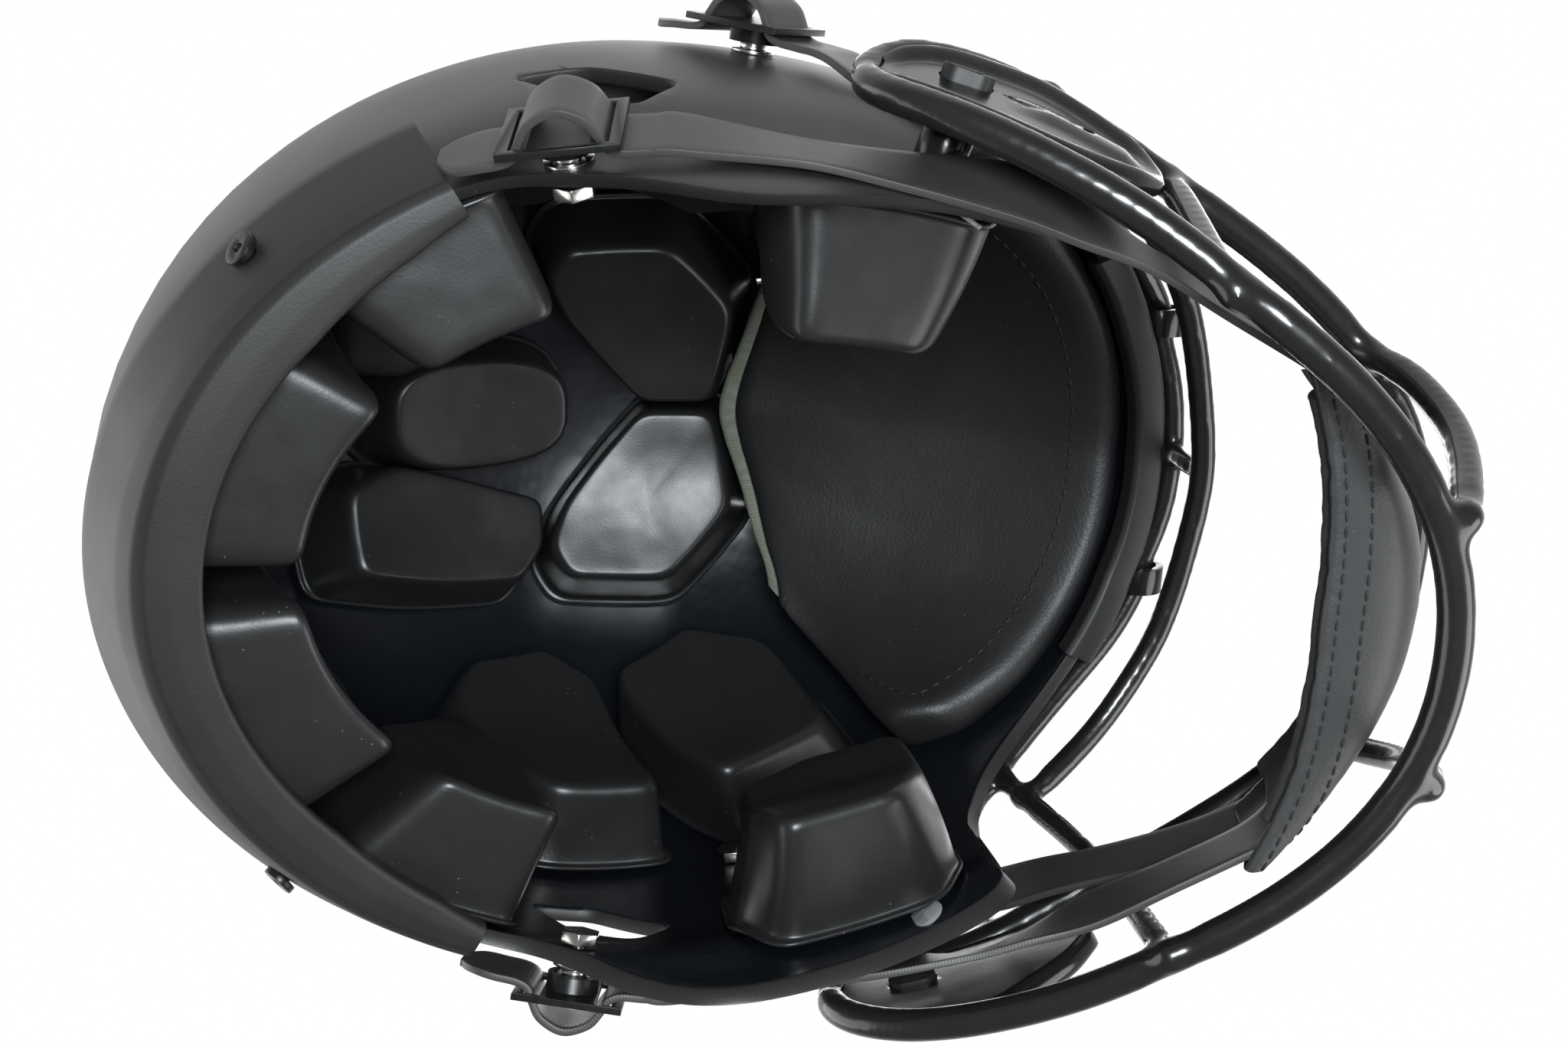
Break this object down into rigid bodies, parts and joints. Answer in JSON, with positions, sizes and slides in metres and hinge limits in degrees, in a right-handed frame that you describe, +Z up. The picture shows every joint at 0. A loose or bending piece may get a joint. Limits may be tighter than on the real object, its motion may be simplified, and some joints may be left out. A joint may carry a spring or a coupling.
{
  "type": "football helmet",
  "caption": "Full-size football helmet resting face-guard down: satin black shell with hinged wire face guard, quick-release side clips, four-point chin strap and moulded liner pads.",
  "frame": {"origin": "on the table, under the middle of the whole helmet's bounding box", "axes": "+Z up from the table, -Y the way the face guard looks, +X the wearer's left; the helmet lies tipped back 15.5 degrees, as it rests on its chin bar and rear bumper"},
  "size_m": [0.2608, 0.3434, 0.2427],
  "materials": {
    "shell_matte": "satin black moulded shell",
    "bumper_rubber": "matt black moulded rubber",
    "screw_black": "black oxide steel",
    "clip_plastic": "gloss black moulding",
    "wire_coated": "gloss black dip coating on steel wire",
    "stud_steel": "bright nickel plate",
    "cup_leather": "black grained cover over a hard cup",
    "liner_fabric": "black soft liner",
    "webbing": "black woven webbing",
    "buckle_black": "black lacquered steel",
    "pad_vinyl": "smooth black vinyl skin over foam",
    "snap_clear": "milky clear moulding",
    "front_pad_leather": "black synthetic leather over foam",
    "edging_woven": "grey green woven edging"
  },
  "bodies": {
    "helmet": {"shell": "shell_matte", "rear_bumper": "bumper_rubber", "rear_bumper_screws": "screw_black", "front_bumper": "bumper_rubber", "front_bumper_screws": "screw_black", "brow_clips": "clip_plastic", "brow_clip_screws": "screw_black", "side_clip_bosses": "clip_plastic", "snap_studs": "stud_steel", "stud_nuts": "stud_steel", "upper_buckles": "buckle_black", "jaw_pads": "pad_vinyl", "jaw_pad_snaps": "snap_clear", "front_pad": "front_pad_leather", "front_pad_trim": "edging_woven", "crown_pad": "pad_vinyl", "crown_side_pads": "pad_vinyl", "crown_front_pads": "pad_vinyl", "side_pads": "pad_vinyl", "temple_pads": "pad_vinyl", "neck_pads": "pad_vinyl", "rear_pads": "pad_vinyl"},
    "flex_panel": {"flex_panel": "shell_matte"},
    "face_guard": {"chin_bar": "wire_coated", "mouth_bar": "wire_coated", "upper_brow_bar": "wire_coated", "lower_brow_bar": "wire_coated", "brow_strut": "wire_coated", "chin_uprights": "wire_coated", "side_uprights": "wire_coated", "temple_bars": "wire_coated", "side_clip_left": "clip_plastic", "side_clip_right": "clip_plastic"},
    "chin_strap": {"chin_cup": "cup_leather", "chin_cup_liner": "liner_fabric", "lower_straps": "webbing", "lower_buckles": "buckle_black", "upper_straps": "webbing"},
    "release_button_left": {"release_button_left": "clip_plastic"},
    "release_button_right": {"release_button_right": "clip_plastic"}
  },
  "joints": [
    {"name": "flex_panel_bend", "type": "hinge", "parent": "helmet", "child": "flex_panel", "pos_m": [0, 0.0104, 0.2372], "axis": [1, 0, 0], "range_deg": [0, 2.5], "stiffness_Nm_per_rad": 4},
    {"name": "face_guard_swing", "type": "hinge", "parent": "helmet", "child": "face_guard", "pos_m": [0, -0.11613, 0.1753], "axis": [-1, 0, 0], "range_deg": [0, 50]},
    {"name": "chin_strap_swing", "type": "hinge", "parent": "helmet", "child": "chin_strap", "pos_m": [0, 0.03573, 0.0259], "axis": [-1, 0, 0], "range_deg": [-4, 1], "deforming": ["upper_straps"]},
    {"name": "release_left", "type": "slide", "parent": "face_guard", "child": "release_button_left", "axis": [-0.9563, 0.2924, 0], "range_m": [0, 0.0025], "stiffness_N_per_m": 600},
    {"name": "release_right", "type": "slide", "parent": "face_guard", "child": "release_button_right", "axis": [0.9563, 0.2924, 0], "range_m": [0, 0.0025], "stiffness_N_per_m": 600}
  ]
}
